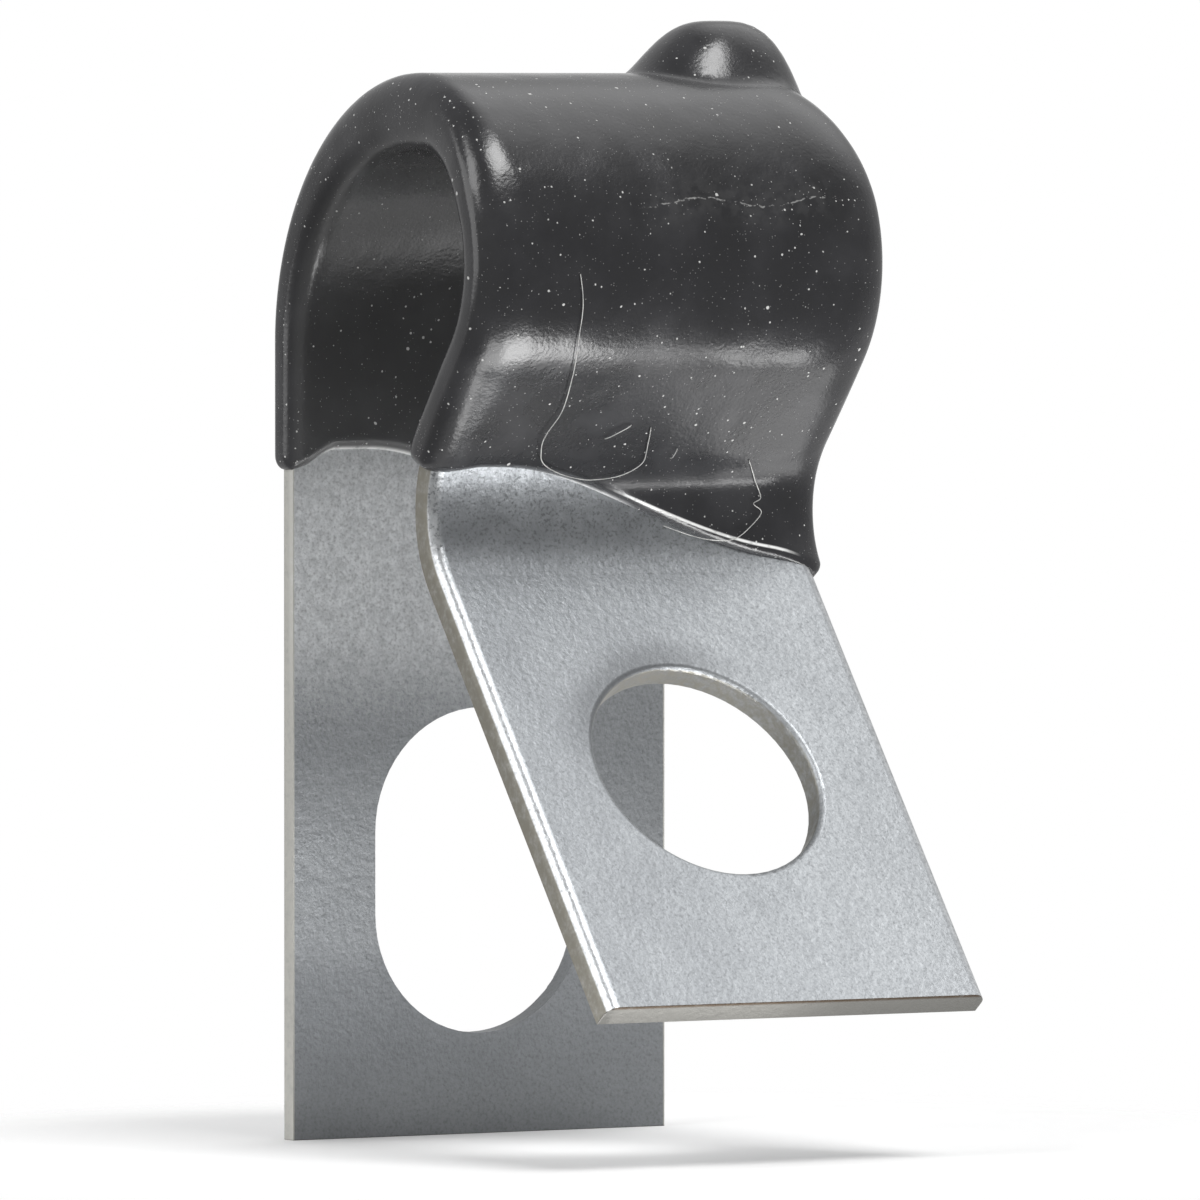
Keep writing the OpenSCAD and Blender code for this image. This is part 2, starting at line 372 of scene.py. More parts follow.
@dataclass(frozen=True)
class StripPath:
    """Middle line of the bent strip, in the plane across the cable.

    Lengths along it are counted from the start of the crown bend, and are
    negative down the back leg.
    """

    width: float = 12.7
    thickness: float = 0.8
    edge_roll: float = 0.4
    crown_start: float = 15.44
    crown_radius: float = 6.56
    crown_turn: float = 100.0
    nose_radius: float = 4.175
    nose_turn: float = 118.4
    throat_straight: float = 2.96
    throat_radius: float = 3.46
    splay: float = 37.3
    leg_length: float = 14.95
    foot_drop: float = 7.7

    @property
    def half_width(self) -> float:
        """From the middle of the strip to its long edge."""
        return self.width / 2

    @property
    def half_thickness(self) -> float:
        """From the middle of the sheet to its face."""
        return self.thickness / 2

    @property
    def nose_end_turn(self) -> float:
        """Turn at the end of the nose bend, in degrees."""
        return self.crown_turn + self.nose_turn

    @property
    def leg_turn(self) -> float:
        """Turn of the front leg, in degrees."""
        return 180.0 - self.splay

    @property
    def crown_end(self) -> float:
        """Length at the end of the crown bend."""
        return self.crown_radius * math.radians(self.crown_turn)

    @property
    def nose_end(self) -> float:
        """Length at the end of the nose bend."""
        return self.crown_end + self.nose_radius * math.radians(self.nose_turn)

    @property
    def nose_middle(self) -> float:
        """Length halfway round the nose bend."""
        return (self.crown_end + self.nose_end) / 2

    @property
    def throat_start(self) -> float:
        """Length at the start of the throat's reverse bend."""
        return self.nose_end + self.throat_straight

    @property
    def throat_end(self) -> float:
        """Length at the end of the throat's reverse bend."""
        return self.throat_start + self.throat_radius * math.radians(
            self.nose_end_turn - self.leg_turn)

    @property
    def crown_centre(self) -> Array:
        """Middle of the crown bend."""
        return np.array([-self.half_thickness - self.crown_radius, self.crown_start])

    @property
    def nose_centre(self) -> Array:
        """Middle of the nose bend."""
        return self.crown_centre + (self.crown_radius - self.nose_radius) * outward(self.crown_turn)

    @property
    def nose_stop(self) -> Array:
        """Point at the end of the nose bend."""
        return self.nose_centre + self.nose_radius * outward(self.nose_end_turn)

    @property
    def throat_centre(self) -> Array:
        """Middle of the throat's bend, on the outer side of the strip."""
        top = self.nose_stop + self.throat_straight * onward(self.nose_end_turn)
        return top + self.throat_radius * outward(self.nose_end_turn)

    @property
    def leg_top(self) -> Array:
        """Point where the front leg begins."""
        return self.throat_centre - self.throat_radius * outward(self.leg_turn)

    @property
    def joints(self) -> list[float]:
        """Lengths at which straights and bends meet."""
        return [0.0, self.crown_end, self.nose_end, self.throat_start, self.throat_end]

    def turn(self, length: Array) -> Array:
        """How far the strip has turned, in degrees: straight lines between the bends' ends."""
        nose = self.nose_end_turn
        return np.interp(length, self.joints, [0.0, self.crown_turn, nose, nose, self.leg_turn])

    def place(self, length: Array, out: Array) -> tuple[Array, Array]:
        """Finds points beside the middle line.

        Each bend is its centre plus its radius times the outward direction,
        with the radius negative at the throat, and each straight is its first
        point plus the length gone times the onward direction.

        Args:
            length: Lengths along the middle line.
            out: Distances from it, positive on the outside of the loop.

        Returns:
            The points' Y and Z.
        """
        away = outward(self.turn(length))
        zones = [length <= joint for joint in self.joints]
        back_top = np.array([-self.half_thickness, self.crown_start])
        runs = [
            (back_top, 0.0, 0.0, 0.0),
            (self.crown_centre, self.crown_radius, 0.0, 0.0),
            (self.nose_centre, self.nose_radius, 0.0, 0.0),
            (self.nose_stop, 0.0, self.nose_end, self.nose_end_turn),
            (self.throat_centre, -self.throat_radius, 0.0, 0.0),
            (self.leg_top, 0.0, self.throat_end, self.leg_turn),
        ]

        def located(axis: int) -> Array:
            """Works out one axis of the points."""
            places = [
                start[axis] + radius * away[axis]
                + (0.0 if radius else 1.0) * (length - begun) * onward(turn)[axis]
                for start, radius, begun, turn in runs]
            return np.select(zones, places[:-1], places[-1]) + out * away[axis]

        return located(0), located(1)


class StripZones(NamedTuple):
    """Masks of the strip's zones, each 1 where the zone is."""

    back_leg: Shade
    bright: Shade
    rolled: Shade
    side: Shade
    end: Shade
    burr: Shade
    wall: Shade
    soot: Shade
    stain_and_shade: Shade


@dataclass(frozen=True)
class ZincFinish:
    """Dull zinc on sheet steel, with smoother rolled edges painted paler as a painted
    highlight, and bare sheared ones that are painted lighter on the back leg as painted light.

    A noise is its clouds in a millimetre, its finer layers and their strength.
    Runs are lengths down the front leg from its top. Each painted light step is a
    pair of heights on the back leg and the painted light added below and above
    them.
    """

    pale: Colour = (0.38, 0.396, 0.41)
    dull: Colour = (0.255, 0.267, 0.279)
    # Painted light: pale zinc for the lit upper left of the back leg and the rolled edges' painted
    # highlight.
    painted_light_zinc: Colour = (0.76, 0.775, 0.785)
    # Specks, and also the painted shade on the back leg and in the throat bend.
    speck_and_shade: Colour = (0.11, 0.115, 0.12)
    sheared: Colour = (0.22, 0.21, 0.18)
    # Painted light: a lighter copy of the sheared colour, for the back leg.
    lit_sheared: Colour = (0.50, 0.495, 0.465)
    end_face: Colour = (0.11, 0.108, 0.10)
    rust: Colour = (0.045, 0.03, 0.018)
    metallic: float = 0.8
    # Painted light: the back leg's painted light zone is also made less metallic.
    painted_light_metallic: float = 0.35
    roughness: float = 0.45
    rolled_roughness: float = 0.33
    grain_roughness: float = 0.12
    side_roughness: float = 0.2
    grain_depth: float = 0.017
    clouds: Trio = (0.45, 3.0, 0.6)
    blots: Trio = (1.6, 2.0, 0.6)
    grain: Trio = (4.5, 3.0, 0.6)
    fine: Trio = (11.0, 2.0, 0.6)
    cloud_share: float = 0.35
    # Painted light: how much paler the zinc is painted towards the right.
    painted_light_right_share: float = 0.65
    # Painted highlight: how much paler the rolled edges are painted.
    rolled_highlight_share: float = 0.6
    grain_share: float = 0.45
    speck_share: float = 0.18
    soot_share: float = 0.6
    foot_burr: float = 0.6
    fade: float = 0.03
    burr_height: Span = (0.26, 0.36)
    inner_face: Span = (-0.7, -0.5)
    # Painted shade: heights below which the back leg is darkened more.
    painted_shade_heights: Span = (-3.2, -1.8)
    # Painted light: the back leg's inner face is painted paler towards its top, most on its left.
    painted_light_across: Span = (-1.0, 4.0)
    painted_light_right: float = 0.25
    painted_light_steps: tuple[tuple[float, float, float, float], ...] = (
        (-7.5, -5.0, 0.1, 0.0), (-3.2, -1.8, 0.0, 0.11),
        (3.5, 7.8, 0.0, 0.85), (9.5, 12.5, 0.0, -0.1))
    # Stain with painted shade at the top of the front leg, in the throat bend under the coat's lip.
    stain_and_shade_run: Span = (-2.6, 0.8)
    soot_run: Span = (2.5, 5.5)
    soot_reach: Span = (0.2, 1.3)
    hole_radius: float = 3.57
    hole_along: float = 6.9

    def zones(self, sheet: NodeSheet, path: StripPath) -> StripZones:
        """Masks the parts of the strip that look different.

        Args:
            sheet: The material's nodes.
            path: The strip.

        Returns:
            The masks.
        """
        x, y, z = sheet.axes(sheet.place)
        top_y, top_z = path.leg_top
        down_y, down_z = onward(path.leg_turn)
        out_y, out_z = outward(path.leg_turn)
        along = (y - top_y) * down_y + (z - top_z) * down_z
        above = (y - top_y) * out_y + (z - top_z) * out_z
        half, roll, fade = path.half_width, path.edge_roll, self.fade
        back_leg = y.ramp(-path.thickness - 0.1, -path.thickness - 0.02)
        front = 1.0 - back_leg
        # Painted light: paler towards the top of the back leg's inner face.
        painted_light_by_height = sum((z.ramp(*step) for step in self.painted_light_steps), 0.0)
        painted_light_by_height = painted_light_by_height * y.ramp(*self.inner_face, 1.0, 0.0)
        end = along.ramp(path.leg_length - fade, path.leg_length - fade / 3)
        foot = z.ramp(fade / 3 - path.foot_drop, fade - path.foot_drop, 1.0, 0.0)
        from_hole = (x ** 2.0 + (along - self.hole_along) ** 2.0) ** 0.5 - self.hole_radius
        soot = (along + 0.5 * x).ramp(*self.soot_run, 1.0, 0.0)
        return StripZones(
            back_leg=back_leg,
            # Painted light on the back leg's inner face, strongest on its left.
            bright=back_leg * painted_light_by_height * x.ramp(*self.painted_light_across, 1.0, self.painted_light_right),
            rolled=abs(x).ramp(half - roll, half - roll / 2) * front,
            side=abs(x).ramp(half - 2 * fade, half - fade),
            end=end,
            burr=end * above.ramp(*self.burr_height) + self.foot_burr * foot,
            wall=from_hole.ramp(fade / 6, fade, 1.0, 0.0) * front,
            soot=from_hole.ramp(*self.soot_reach, 1.0, 0.0) * soot * front,
            # Stain with painted shade in the throat bend under the coat's lip.
            stain_and_shade=along.ramp(*self.stain_and_shade_run, 1.0, 0.0) * front)

    def material(self, path: StripPath) -> bpy.types.Material:
        """Builds the finish.

        Args:
            path: The strip that it lies on.

        Returns:
            The material.
        """
        material, sheet = new_material("zinc")
        x, _, z = sheet.axes(sheet.place)
        zone = self.zones(sheet, path)
        clouds, blots, grain, fine = (
            sheet.noise(*noise) for noise in (self.clouds, self.blots, self.grain, self.fine))
        pits = (fine + 0.03 * zone.stain_and_shade).ramp(0.57, 0.70)
        # Painted light: the zinc is painted paler towards the right, over its random clouds.
        pale = self.cloud_share * clouds.ramp(0.3, 0.7) + x.ramp(-5.0, 5.0, 0.0, self.painted_light_right_share)
        # Soot, and stain with painted shade in the throat bend under the coat's lip.
        smudge_and_shade = self.soot_share * zone.soot + zone.stain_and_shade * blots.ramp(0.35, 0.65, 0.05, 0.35)
        # Painted light: sheared faces on the back leg are lighter than those on the front leg.
        bare = sheet.mix(zone.back_leg, self.sheared, self.lit_sheared)
        tone = sheet.layered(sheet.mix(pale, self.dull, self.pale), (
            # Painted shade: the back leg is darkened, more towards its bottom.
            (zone.back_leg * z.ramp(*self.painted_shade_heights, 0.5, 0.4), self.speck_and_shade),
            # Painted light: the upper left of the back leg's inner face is painted paler.
            (zone.bright, self.painted_light_zinc),
            # Painted highlight: the rolled edges are painted paler; their lower roughness is the
            # burnish.
            (self.rolled_highlight_share * zone.rolled, self.painted_light_zinc),
            (grain.ramp(0.25, 0.75, 0.0, self.grain_share), self.dull),
            (fine.ramp(0.40, 0.60, 0.0, self.speck_share), self.speck_and_shade),
            (pits * (0.3 + 0.4 * zone.stain_and_shade), self.speck_and_shade),
            (smudge_and_shade, self.speck_and_shade),
            (zone.side * grain.ramp(0.2, 0.6, 0.75, 1.0), bare),
            (zone.wall * grain.ramp(0.3, 0.7, 0.4, 0.9), self.sheared),
            (zone.end, self.end_face),
            (zone.burr * grain.ramp(0.2, 0.5, 0.6, 1.0), self.rust)))
        smoothing = (self.rolled_roughness - self.roughness) * zone.rolled * (1.0 - zone.side)
        rough = (self.roughness + smoothing + self.grain_roughness * (grain - 0.5)
                 + self.side_roughness * zone.side)
        # Painted light: the back leg's painted light zone is less metallic.
        metal = self.metallic + (self.painted_light_metallic - self.metallic) * zone.bright
        sheet.close(sheet.add("ShaderNodeBsdfPrincipled", inputs={
            "Base Color": tone, "Metallic": metal, "Roughness": rough,
            "Normal": sheet.bump(grain, self.grain_depth)}))
        return material


@dataclass(frozen=True)
class VinylFinish:
    """Black, glossy, dusty vinyl that was dipped on and baked.

    A noise is its clouds in a millimetre, its finer layers and their strength.
    Motes, crumbs and powder are specks: how many to a millimetre, their largest
    radius as a share of their spacing, and the share that is there. The places of
    the pale line and of its painted highlight are shares of the coat's thickness
    at its edge.
    """

    black: Colour = (0.018, 0.018, 0.0195)
    worn: Colour = (0.022, 0.022, 0.0245)
    dust: Colour = (0.50, 0.50, 0.49)
    # Pale line along the dip edge, and its painted highlight on the lip's shoulder.
    feather_and_highlight: Colour = (0.82, 0.82, 0.81)
    ior: float = 1.5
    roughness: float = 0.17
    cloud_roughness: float = 0.10
    dust_roughness: float = 0.5
    clouds: Trio = (0.5, 3.0, 0.55)
    swell: Trio = (0.8, 1.0, 0.4)
    peel: Trio = (3.2, 2.0, 0.5)
    grain: Trio = (9.0, 1.0, 0.5)
    swell_depth: float = 0.03
    peel_depth: float = 0.004
    grain_depth: float = 0.005
    motes: Trio = (1.9, 0.12, 0.5)
    crumbs: Trio = (4.3, 0.16, 0.6)
    powder: Trio = (11.0, 0.2, 0.7)
    mote_fray: Span = (9.0, 0.03)
    cloud_film: float = 0.015
    scuff_film: float = 0.03
    # Painted light: how much paler the lining inside the loop is painted.
    lining_painted_light: float = 0.08
    line_ends: Span = (1.2, 0.4)
    line_lift: Span = (-0.8, 0.8)
    low_line: Span = (0.25, 0.75)
    # Painted highlight: where it begins and ends on the lip's shoulder.
    highlight_foot: Span = (0.85, 0.92)
    highlight_top: Span = (0.95, 0.985)
    scuff_height: float = 19.55
    scuff_swing: float = 0.14
    scuff_wave: float = 1.55
    scuff_phase: float = 0.8
    scuff_width: float = 0.035
    scuff_halo: Span = (0.1, 0.9)
    scuff_left: Span = (-1.8, -0.8)
    scuff_right: Span = (4.4, 5.4)
    scuff_front: Span = (-10.5, -10.0)
    scuff_fray: Span = (3.0, 0.12)
    scuff_breaks: Trio = (5.0, 2.0, 0.7)

    def scuff(self, sheet: NodeSheet) -> tuple[Shade, Shade]:
        """Draws the dusty rub mark that wanders across the front under the crown.

        Args:
            sheet: The material's nodes.

        Returns:
            Masks of the mark itself and of the dust round it.
        """
        x, y, z = sheet.axes(sheet.ragged(*self.scuff_fray))
        wave = sheet.math(Op.SINE, self.scuff_wave * x + self.scuff_phase)
        away = abs(z - (self.scuff_height + self.scuff_swing * wave))
        front = (x.ramp(*self.scuff_left) * x.ramp(*self.scuff_right, 1.0, 0.0)
                 * y.ramp(*self.scuff_front, 1.0, 0.0))
        broken = sheet.noise(*self.scuff_breaks).ramp(0.44, 0.60)
        mark = front * broken * away.ramp(0.3 * self.scuff_width, self.scuff_width, 1.0, 0.0)
        return mark, front * away.ramp(*self.scuff_halo, 1.0, 0.0)

    def edge_line_and_highlight(self, sheet: NodeSheet, peel: Shade, path: StripPath) -> Shade:
        """Draws the pale feathered line along the dip edge, with its painted highlight.

        The line lies against the strip on the left; on the right it is a painted
        highlight on the lip's shoulder.

        Args:
            sheet: The material's nodes.
            peel: Noise that breaks the line up.
            path: The strip that the coat lies on.

        Returns:
            The line's mask.
        """
        x = sheet.axes(sheet.place)[0]
        rise = sheet.attribute("rise")
        lifted = x.ramp(*self.line_lift)
        low = (1.0 - lifted) * rise.ramp(*self.low_line, 1.0, 0.0)
        # Painted highlight on the lip's shoulder on the right.
        high = lifted * rise.ramp(*self.highlight_foot) * rise.ramp(*self.highlight_top, 1.0, 0.0)
        inside = abs(x).ramp(*(path.half_width - end for end in self.line_ends), 1.0, 0.0)
        return inside * (low + high) * peel.ramp(0.3, 0.5, 0.5, 0.9)

    def material(self, path: StripPath) -> bpy.types.Material:
        """Builds the finish.

        Args:
            path: The strip that it lies on.

        Returns:
            The material, which reads the coat's rise and lining from its mesh.
        """
        material, sheet = new_material("black_vinyl")
        clouds, swell, peel, grain = (
            sheet.noise(*noise) for noise in (self.clouds, self.swell, self.peel, self.grain))
        mark, halo = self.scuff(sheet)
        frayed = sheet.ragged(*self.mote_fray)
        motes = sheet.specks(frayed, *self.motes) + sheet.specks(frayed, *self.crumbs)
        powder = sheet.specks(sheet.place, *self.powder) * (0.5 + 0.5 * halo)
        # Dust film, and painted light that makes the lining inside the loop paler.
        dust_film_and_lining_light = (clouds.ramp(0.42, 0.75, 0.0, self.cloud_film)
                + self.scuff_film * halo * peel.ramp(0.35, 0.65)
                + sheet.attribute("lining").ramp(0.5, 1.0, 0.0, self.lining_painted_light))
        loose = sheet.math(Op.MINIMUM, motes + 0.7 * powder + 0.4 * mark, 1.0)
        tone = sheet.layered(sheet.mix(clouds.ramp(0.3, 0.7), self.black, self.worn), (
            (sheet.math(Op.MINIMUM, loose + dust_film_and_lining_light, 1.0), self.dust),
            # The pale line, and the painted highlight on the lip's shoulder.
            (self.edge_line_and_highlight(sheet, peel, path), self.feather_and_highlight)))
        normal = sheet.bump(swell, self.swell_depth)
        normal = sheet.bump(peel, self.peel_depth, normal)
        normal = sheet.bump(grain, self.grain_depth, normal)
        rough = self.roughness + self.cloud_roughness * clouds + self.dust_roughness * loose
        sheet.close(sheet.add("ShaderNodeBsdfPrincipled", inputs={
            "Base Color": tone, "Roughness": rough, "IOR": self.ior, "Normal": normal}))
        return material


@dataclass(frozen=True)
class LintFinish:
    """Pale grey fibre."""

    pale: Colour = (0.62, 0.62, 0.60)
    grey: Colour = (0.40, 0.40, 0.39)
    cloud_scale: float = 2.0
    roughness: float = 0.8

    def material(self) -> bpy.types.Material:
        """Builds the finish.

        Returns:
            The material.
        """
        material, sheet = new_material("lint")
        clouds = sheet.noise(self.cloud_scale)
        tone = sheet.mix(clouds.ramp(0.35, 0.65), self.pale, self.grey)
        sheet.close(sheet.add(
            "ShaderNodeBsdfPrincipled", inputs={"Base Color": tone, "Roughness": self.roughness}))
        return material


@dataclass(frozen=True)
class FloorFinish:
    """Plain pale paper that fades out round the part."""

    paper: Colour = (0.86, 0.86, 0.86)
    shade: Colour = (0.83, 0.83, 0.83)
    cloud_scale: float = 0.05
    roughness: float = 0.9
    full: float = 15.0
    gone: float = 27.0

    def material(self, middle: Point) -> bpy.types.Material:
        """Builds the finish.

        Args:
            middle: Where the paper is whole, in millimetres.

        Returns:
            The material.
        """
        material, sheet = new_material("floor_paper")
        away = sheet.vector(VectorOp.DISTANCE, sheet.place, middle).ramp(self.full, self.gone)
        tone = sheet.mix(sheet.noise(self.cloud_scale), self.paper, self.shade)
        paper = sheet.add(
            "ShaderNodeBsdfPrincipled", inputs={"Base Color": tone, "Roughness": self.roughness})
        clear = sheet.add("ShaderNodeBsdfTransparent")
        sheet.close(sheet.add("ShaderNodeMixShader", inputs={0: away, 1: paper, 2: clear}))
        return material


@dataclass(frozen=True)
class SteelStrap:
    """The bent strip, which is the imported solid."""

    path: StripPath
    finish: ZincFinish = ZincFinish()

    def dress(self) -> bpy.types.Object:
        """Gives the solid its finish.

        Returns:
            The solid's object.
        """
        strap = frame["nodes"]["steel_strap"]
        strap.data.materials.clear()
        strap.data.materials.append(self.finish.material(self.path))
        return strap


@dataclass(frozen=True)
class DipCoat:
    """The vinyl skin that wraps the loop, thick on the crown and thin on the legs.

    The skin is a ring round the strip's section, carried along the strip from
    one slanted dip edge to the other, and back along the strip's own surface.
    Its rows are those on the back leg, the crown, the nose and the throat.
    """

    path: StripPath
    seat_radius: float
    finish: VinylFinish = VinylFinish()
    lining: float = 0.55
    crown_coat: float = 0.85
    front_coat: float = 0.54
    leg_coat: float = 0.27
    rim_coat: float = 0.22
    lip_rim: float = 0.38
    ridge_half: float = 0.5
    core_inset: float = 0.24
    left_round: float = 0.65
    left_front_round: float = 1.25
    right_round: float = 2.07
    inner_round: float = 0.5
    lip_thinning: float = 1.9
    back_edge: float = 3.1
    front_edge: float = 0.8
    edge_slant: float = 3.5
    front_level: float = 1.75
    back_level: float = 2.45
    back_sag: float = 0.58
    front_sag: float = 0.25
    wrap_width: float = 1.4
    lip_length: float = 0.42
    sink: float = 0.02
    drip_height: float = 1.52
    drip_inset: float = 2.64
    drip_left: float = 2.45
    drip_right: float = 3.31
    drip_front: float = 2.05
    drip_back: float = 2.39
    drip_power: float = 2.2
    drip_bluntness: float = 3.2
    drip_foot: float = 1.6
    drip_lean: float = 0.2
    drip_wall: float = 0.4
    outer_columns: int = 110
    inner_columns: int = 44
    corner_steps: int = 10
    lip_rows: int = 10
    coat_rows: tuple[int, ...] = (14, 84, 70, 44)
    wall_rows: int = 60

    @property
    def crown_top(self) -> float:
        """Length at the top of the crown, where the coat is thickest."""
        return self.path.crown_end * min(90.0 / self.path.crown_turn, 1.0)

    @property
    def drip_x(self) -> float:
        """Where the drip stands across the strip."""
        return self.path.half_width + self.rim_coat - self.drip_inset

    def outer_thickness(self, length: Array) -> Array:
        """Thickness on the outer face: up to the crown's, down to the front's and the lip's."""
        throat = self.path.throat_start
        return stepped(length, self.leg_coat, (
            (0.0, self.crown_top - self.ridge_half, self.crown_coat),
            (self.crown_top + self.ridge_half, self.path.nose_middle, self.front_coat),
            (throat, throat + self.lip_thinning, self.leg_coat)))

    def inner_thickness(self, length: Array) -> Array:
        """Thickness on the inner face: the leg's, then the lining's."""
        return stepped(
            length, self.leg_coat, ((-self.back_edge / 2, self.crown_top / 2, self.lining),))

    def edge_thickness(self, length: Array) -> Array:
        """Thickness over the long edges: the rim's, then the front's and the lip's."""
        path = self.path
        return stepped(length, self.rim_coat, (
            (path.crown_end, path.nose_middle, self.front_coat),
            (path.nose_end, path.throat_end, self.lip_rim)))

    def left_swell(self, length: Array) -> Array:
        """Extra rounding of the outer left edge: in down the front and out at the throat."""
        path = self.path
        return (self.left_front_round - self.left_round) * stepped(length, 0.0, (
            (path.crown_end, path.nose_end, 1.0), (path.nose_end, path.throat_start, 0.0)))

    def edges(self, x: Array) -> tuple[Array, Array]:
        """Finds the dip edge, level on the left and then eased down, with sags at the sides.

        Args:
            x: Places across the strip.

        Returns:
            The edge's lengths on the back leg and on the front leg.
        """
        half = self.path.half_width
        sag = eased(np.abs(x), half - self.wrap_width, half)
        back, front = (
            self.edge_slant * eased(x, level - half, half + self.rim_coat)
            for level in (self.back_level, self.front_level))
        return (-self.back_edge - back - self.back_sag * sag,
                self.path.throat_start + self.front_edge + front + self.front_sag * sag)

    def section(self) -> tuple[Array, Array, Array, Array]:
        """Walks once round the strip's section.

        The walk follows a core inside the section: along the outer face, round
        two corners, along the lining and round the other two. Each corner is
        a quarter of an ellipse about its core place.

        Returns:
            The core's across and outward places, the angle round the corner,
            and the share of the left edge's extra rounding that the core takes.
        """
        path = self.path
        left = self.left_round - path.half_width
        right = path.half_width - self.right_round
        inner_wide = path.half_width - self.inner_round
        upright = math.pi / 2
        quarter = np.linspace(0.0, upright, self.corner_steps + 1)
        outer = np.linspace(left, right, self.outer_columns + 1)
        inner = np.linspace(inner_wide, -inner_wide, self.inner_columns + 1)
        stretches = (
            (outer, upright, 1.0),
            (right, upright - quarter[1:], 1.0),
            (inner_wide, -quarter[:-1], -1.0),
            (inner, -upright, -1.0),
            (-inner_wide, -upright - quarter[1:], -1.0),
            (left, math.pi - quarter[:-1], 1.0))
        across, angle, top = (
            np.concatenate(column)
            for column in zip(*(np.broadcast_arrays(*stretch) for stretch in stretches)))
        level = (path.half_thickness - self.core_inset) * top
        follow = np.where(top > 0.0, (right - across) / (right - left), 0.0)
        return across, level, angle, follow

    def bed(self, x: Array, out: Array) -> tuple[Array, Array]:
        """Finds the strip's surface under points of the skin.

        The strip's section is a rectangle with round outer corners: a point
        drops straight onto a face or the edge, onto the nearest place of a
        round corner, or to the square inner corner.

        Args:
            x: Places across the strip.
            out: Distances from the middle of the sheet.

        Returns:
            The places across and outward, just under the strip's surface.
        """
        path = self.path
        half, deep = path.half_width - self.sink, path.half_thickness - self.sink
        roll = path.edge_roll
        flat = np.clip(x, -half, half), np.clip(out, -deep, deep)
        beside = np.abs(x) - (path.half_width - roll)
        above = out - (path.half_thickness - roll)
        share = (roll - self.sink) / np.maximum(np.hypot(beside, above), TINY)
        corner = (beside > 0.0) & (above > 0.0)
        return (np.where(corner, np.sign(x) * (path.half_width - roll + beside * share), flat[0]),
                np.where(corner, path.half_thickness - roll + above * share, flat[1]))

    def stations(self, across: Array) -> tuple[Array, Array]:
        """Lays out the rings from one dip edge to the other.

        Each lip is a quarter ellipse: the run is the lip's length times one
        less the cosine, and the share of the thickness is the sine.

        Args:
            across: The strip's places under the ring.

        Returns:
            Lengths along the strip, a row per ring, and each ring's share of
            the thickness.
        """
        path = self.path
        first, last = self.edges(across)
        lip = np.linspace(0.0, math.pi / 2, self.lip_rows + 1)[:, None]
        run = self.lip_length * (1.0 - np.cos(lip))

        def between(start: Number, stop: Number, rows: int) -> Array:
            """Spreads rows evenly from just after start up to stop."""
            share = np.linspace(0.0, 1.0, rows + 1)[1:, None]
            return start + (stop - start) * share + 0.0 * across

        ends = (first + self.lip_length, 0.0, path.crown_end, path.nose_end,
                last - self.lip_length)
        lengths = [
            first + run,
            *(between(*stretch) for stretch in zip(ends, ends[1:], self.coat_rows)),
            (last - run)[-2::-1]]
        full = np.ones((sum(self.coat_rows), 1))
        rise = np.concatenate([np.sin(lip), full, np.sin(lip)[-2::-1]])
        return np.concatenate(lengths), rise

    def drip(self, x: Array, y: Array, length: Array, angle: Array) -> Array:
        """Height of the set drip on the crown.

        The shares of the way to the foot across and along the strip join into
        one by their power mean, which makes the drip slightly square. One less
        that share to the power of the bluntness is raised to the power of the
        foot, for a round top and a soft foot, and the height fades out round
        the strip's edge.

        Args:
            x: Places across the strip.
            y: Places from back to front.
            length: Lengths along the strip.
            angle: Angles round the section.

        Returns:
            How far the skin is raised.
        """
        beside, behind = x - self.drip_x, y - self.path.crown_centre[0]
        across = np.abs(beside) / np.where(beside < 0.0, self.drip_left, self.drip_right)
        along = np.abs(behind) / np.where(behind < 0.0, self.drip_front, self.drip_back)
        share = (across ** self.drip_power + along ** self.drip_power) ** (1.0 / self.drip_power)
        on_crown = (length > 0.0) & (length < self.path.nose_middle)
        dome = np.maximum(1.0 - share ** self.drip_bluntness, 0.0) ** self.drip_foot
        raised = dome * eased(np.sin(angle), 0.0, self.drip_wall)
        return np.where(on_crown, self.drip_height * raised, 0.0)

    def ring_points(self, length: Array, rise: Array) -> tuple[Array, Array, Array]:
        """Carries the section along the strip.

        A corner's half axes are the core's insets plus the coat's thickness
        over the edge and on the face. The ring's share of the thickness moves
        each point from the strip's surface to the skin.

        Args:
            length: Lengths along the strip, a row per ring.
            rise: Each ring's share of the thickness.

        Returns:
            The points' X, Y and Z.
        """
        across, level, angle, follow = self.section()
        across = across + follow * self.left_swell(length)
        inset = self.path.half_width - np.abs(across)
        face = np.where(
            np.sin(angle) > 0.0, self.outer_thickness(length), self.inner_thickness(length))
        x = across + (inset + self.edge_thickness(length)) * np.cos(angle)
        out = level + (self.core_inset + face) * np.sin(angle)
        bed_x, bed_out = self.bed(x, out)
        x, out = bed_x + (x - bed_x) * rise, bed_out + (out - bed_out) * rise
        y, z = self.path.place(length, out)
        lift = self.drip(x, y, length, angle) * (rise > 0.0)
        return x + lift * self.drip_lean, y, z + lift

